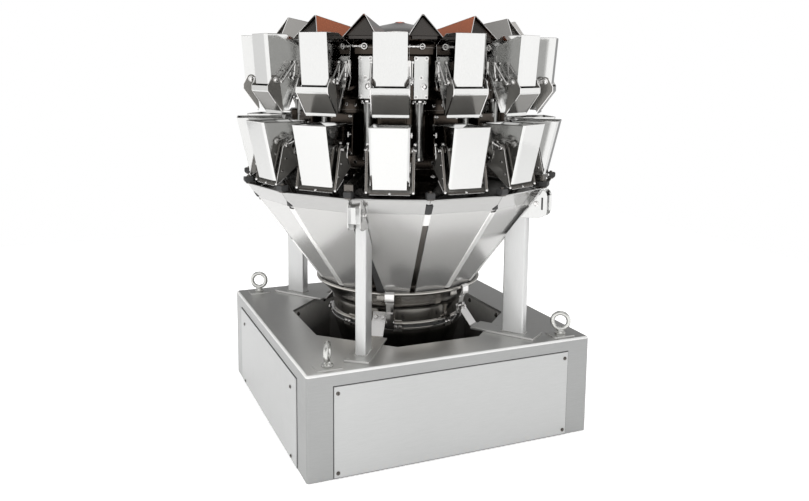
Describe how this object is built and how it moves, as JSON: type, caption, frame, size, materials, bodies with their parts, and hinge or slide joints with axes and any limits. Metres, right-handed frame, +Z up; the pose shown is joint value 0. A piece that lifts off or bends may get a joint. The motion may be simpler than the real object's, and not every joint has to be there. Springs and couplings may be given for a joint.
{
  "type": "multihead weigher",
  "caption": "Radial multihead weigher: ring of gated pool and weigh hoppers over a faceted collecting chute and funnel, on four posts and a square base",
  "frame": {"origin": "centre of the machine at floor level", "axes": "+Z up, the long front panel faces -Y, +X to the right of someone facing that panel"},
  "size_m": [1.1746, 1.176, 1.438],
  "materials": {
    "base_sheet": "satin brushed stainless sheet, fine grain",
    "panel_sheet": "satin brushed stainless removable panels",
    "well_steel": "dull steel in shadow inside the well",
    "zinc_steel": "bright plated forged steel",
    "post_steel": "satin brushed stainless tube",
    "polished_steel": "polished stainless steel",
    "funnel_steel": "polished stainless steel, darkened",
    "chute_steel": "polished stainless sheet",
    "black_rubber": "matt black rubber rest blocks",
    "body_steel": "polished stainless housings",
    "hopper_steel": "mirror polished stainless sheet",
    "gate_steel": "mirror polished stainless sheet",
    "pan_steel": "polished stainless feeder pans"
  },
  "bodies": {
    "machine": {"back_panel": "panel_sheet", "base_corner_columns": "base_sheet", "base_floor_pan": "well_steel", "base_outer_walls": "base_sheet", "base_top_plate": "base_sheet", "base_well_lining": "well_steel", "body_drum": "body_steel", "body_support_arms": "body_steel", "chute_joint_strips": "chute_steel", "chute_panels": "chute_steel", "chute_rim_band": "chute_steel", "dispersion_cone": "pan_steel", "drive_housing": "body_steel", "feeder_housing": "body_steel", "feeder_pan_floors": "pan_steel", "feeder_pan_sides": "pan_steel", "front_panel": "panel_sheet", "funnel_clamp_rings": "polished_steel", "funnel_latches": "polished_steel", "funnel_straps": "post_steel", "gate_pins": "polished_steel", "hanger_tubes": "post_steel", "lifting_eyes": "zinc_steel", "lower_funnel": "funnel_steel", "pool_hoppers": "hopper_steel", "post_brackets": "polished_steel", "post_foot_plates": "base_sheet", "rim_rest_blocks": "black_rubber", "side_panels": "panel_sheet", "support_posts": "post_steel", "weigh_hoppers": "hopper_steel"},
    "pool_gate_01": {"pool_gate_01": "gate_steel"},
    "weigh_gate_01": {"weigh_gate_01": "gate_steel"},
    "pool_gate_02": {"pool_gate_02": "gate_steel"},
    "weigh_gate_02": {"weigh_gate_02": "gate_steel"},
    "pool_gate_03": {"pool_gate_03": "gate_steel"},
    "weigh_gate_03": {"weigh_gate_03": "gate_steel"},
    "pool_gate_04": {"pool_gate_04": "gate_steel"},
    "weigh_gate_04": {"weigh_gate_04": "gate_steel"},
    "pool_gate_05": {"pool_gate_05": "gate_steel"},
    "weigh_gate_05": {"weigh_gate_05": "gate_steel"},
    "pool_gate_06": {"pool_gate_06": "gate_steel"},
    "weigh_gate_06": {"weigh_gate_06": "gate_steel"},
    "pool_gate_07": {"pool_gate_07": "gate_steel"},
    "weigh_gate_07": {"weigh_gate_07": "gate_steel"},
    "pool_gate_08": {"pool_gate_08": "gate_steel"},
    "weigh_gate_08": {"weigh_gate_08": "gate_steel"},
    "pool_gate_09": {"pool_gate_09": "gate_steel"},
    "weigh_gate_09": {"weigh_gate_09": "gate_steel"},
    "pool_gate_10": {"pool_gate_10": "gate_steel"},
    "weigh_gate_10": {"weigh_gate_10": "gate_steel"},
    "pool_gate_11": {"pool_gate_11": "gate_steel"},
    "weigh_gate_11": {"weigh_gate_11": "gate_steel"},
    "pool_gate_12": {"pool_gate_12": "gate_steel"},
    "weigh_gate_12": {"weigh_gate_12": "gate_steel"},
    "pool_gate_13": {"pool_gate_13": "gate_steel"},
    "weigh_gate_13": {"weigh_gate_13": "gate_steel"},
    "pool_gate_14": {"pool_gate_14": "gate_steel"},
    "weigh_gate_14": {"weigh_gate_14": "gate_steel"}
  },
  "joints": [
    {"name": "pool_gate_hinge_01", "type": "hinge", "parent": "machine", "child": "pool_gate_01", "pos_m": [0, -0.535, 1.227], "axis": [-1, 0, 0], "range_deg": [0, 40]},
    {"name": "weigh_gate_hinge_01", "type": "hinge", "parent": "machine", "child": "weigh_gate_01", "pos_m": [0, -0.505, 1.015], "axis": [1, 0, 0], "range_deg": [0, 50]},
    {"name": "pool_gate_hinge_02", "type": "hinge", "parent": "machine", "child": "pool_gate_02", "pos_m": [0.23213, -0.48202, 1.227], "axis": [-0.901, -0.4339, 0], "range_deg": [0, 40]},
    {"name": "weigh_gate_hinge_02", "type": "hinge", "parent": "machine", "child": "weigh_gate_02", "pos_m": [0.21911, -0.45499, 1.015], "axis": [0.901, 0.4339, 0], "range_deg": [0, 50]},
    {"name": "pool_gate_hinge_03", "type": "hinge", "parent": "machine", "child": "pool_gate_03", "pos_m": [0.41828, -0.33357, 1.227], "axis": [-0.6235, -0.7818, 0], "range_deg": [0, 40]},
    {"name": "weigh_gate_hinge_03", "type": "hinge", "parent": "machine", "child": "weigh_gate_03", "pos_m": [0.39482, -0.31486, 1.015], "axis": [0.6235, 0.7818, 0], "range_deg": [0, 50]},
    {"name": "pool_gate_hinge_04", "type": "hinge", "parent": "machine", "child": "pool_gate_04", "pos_m": [0.52159, -0.11905, 1.227], "axis": [-0.2225, -0.9749, 0], "range_deg": [0, 40]},
    {"name": "weigh_gate_hinge_04", "type": "hinge", "parent": "machine", "child": "weigh_gate_04", "pos_m": [0.49234, -0.11237, 1.015], "axis": [0.2225, 0.9749, 0], "range_deg": [0, 50]},
    {"name": "pool_gate_hinge_05", "type": "hinge", "parent": "machine", "child": "pool_gate_05", "pos_m": [0.52159, 0.11905, 1.227], "axis": [0.2225, -0.9749, 0], "range_deg": [0, 40]},
    {"name": "weigh_gate_hinge_05", "type": "hinge", "parent": "machine", "child": "weigh_gate_05", "pos_m": [0.49234, 0.11237, 1.015], "axis": [-0.2225, 0.9749, 0], "range_deg": [0, 50]},
    {"name": "pool_gate_hinge_06", "type": "hinge", "parent": "machine", "child": "pool_gate_06", "pos_m": [0.41828, 0.33357, 1.227], "axis": [0.6235, -0.7818, 0], "range_deg": [0, 40]},
    {"name": "weigh_gate_hinge_06", "type": "hinge", "parent": "machine", "child": "weigh_gate_06", "pos_m": [0.39482, 0.31486, 1.015], "axis": [-0.6235, 0.7818, 0], "range_deg": [0, 50]},
    {"name": "pool_gate_hinge_07", "type": "hinge", "parent": "machine", "child": "pool_gate_07", "pos_m": [0.23213, 0.48202, 1.227], "axis": [0.901, -0.4339, 0], "range_deg": [0, 40]},
    {"name": "weigh_gate_hinge_07", "type": "hinge", "parent": "machine", "child": "weigh_gate_07", "pos_m": [0.21911, 0.45499, 1.015], "axis": [-0.901, 0.4339, 0], "range_deg": [0, 50]},
    {"name": "pool_gate_hinge_08", "type": "hinge", "parent": "machine", "child": "pool_gate_08", "pos_m": [0, 0.535, 1.227], "axis": [1, 0, 0], "range_deg": [0, 40]},
    {"name": "weigh_gate_hinge_08", "type": "hinge", "parent": "machine", "child": "weigh_gate_08", "pos_m": [0, 0.505, 1.015], "axis": [-1, 0, 0], "range_deg": [0, 50]},
    {"name": "pool_gate_hinge_09", "type": "hinge", "parent": "machine", "child": "pool_gate_09", "pos_m": [-0.23213, 0.48202, 1.227], "axis": [0.901, 0.4339, 0], "range_deg": [0, 40]},
    {"name": "weigh_gate_hinge_09", "type": "hinge", "parent": "machine", "child": "weigh_gate_09", "pos_m": [-0.21911, 0.45499, 1.015], "axis": [-0.901, -0.4339, 0], "range_deg": [0, 50]},
    {"name": "pool_gate_hinge_10", "type": "hinge", "parent": "machine", "child": "pool_gate_10", "pos_m": [-0.41828, 0.33357, 1.227], "axis": [0.6235, 0.7818, 0], "range_deg": [0, 40]},
    {"name": "weigh_gate_hinge_10", "type": "hinge", "parent": "machine", "child": "weigh_gate_10", "pos_m": [-0.39482, 0.31486, 1.015], "axis": [-0.6235, -0.7818, 0], "range_deg": [0, 50]},
    {"name": "pool_gate_hinge_11", "type": "hinge", "parent": "machine", "child": "pool_gate_11", "pos_m": [-0.52159, 0.11905, 1.227], "axis": [0.2225, 0.9749, 0], "range_deg": [0, 40]},
    {"name": "weigh_gate_hinge_11", "type": "hinge", "parent": "machine", "child": "weigh_gate_11", "pos_m": [-0.49234, 0.11237, 1.015], "axis": [-0.2225, -0.9749, 0], "range_deg": [0, 50]},
    {"name": "pool_gate_hinge_12", "type": "hinge", "parent": "machine", "child": "pool_gate_12", "pos_m": [-0.52159, -0.11905, 1.227], "axis": [-0.2225, 0.9749, 0], "range_deg": [0, 40]},
    {"name": "weigh_gate_hinge_12", "type": "hinge", "parent": "machine", "child": "weigh_gate_12", "pos_m": [-0.49234, -0.11237, 1.015], "axis": [0.2225, -0.9749, 0], "range_deg": [0, 50]},
    {"name": "pool_gate_hinge_13", "type": "hinge", "parent": "machine", "child": "pool_gate_13", "pos_m": [-0.41828, -0.33357, 1.227], "axis": [-0.6235, 0.7818, 0], "range_deg": [0, 40]},
    {"name": "weigh_gate_hinge_13", "type": "hinge", "parent": "machine", "child": "weigh_gate_13", "pos_m": [-0.39482, -0.31486, 1.015], "axis": [0.6235, -0.7818, 0], "range_deg": [0, 50]},
    {"name": "pool_gate_hinge_14", "type": "hinge", "parent": "machine", "child": "pool_gate_14", "pos_m": [-0.23213, -0.48202, 1.227], "axis": [-0.901, 0.4339, 0], "range_deg": [0, 40]},
    {"name": "weigh_gate_hinge_14", "type": "hinge", "parent": "machine", "child": "weigh_gate_14", "pos_m": [-0.21911, -0.45499, 1.015], "axis": [0.901, -0.4339, 0], "range_deg": [0, 50]}
  ]
}
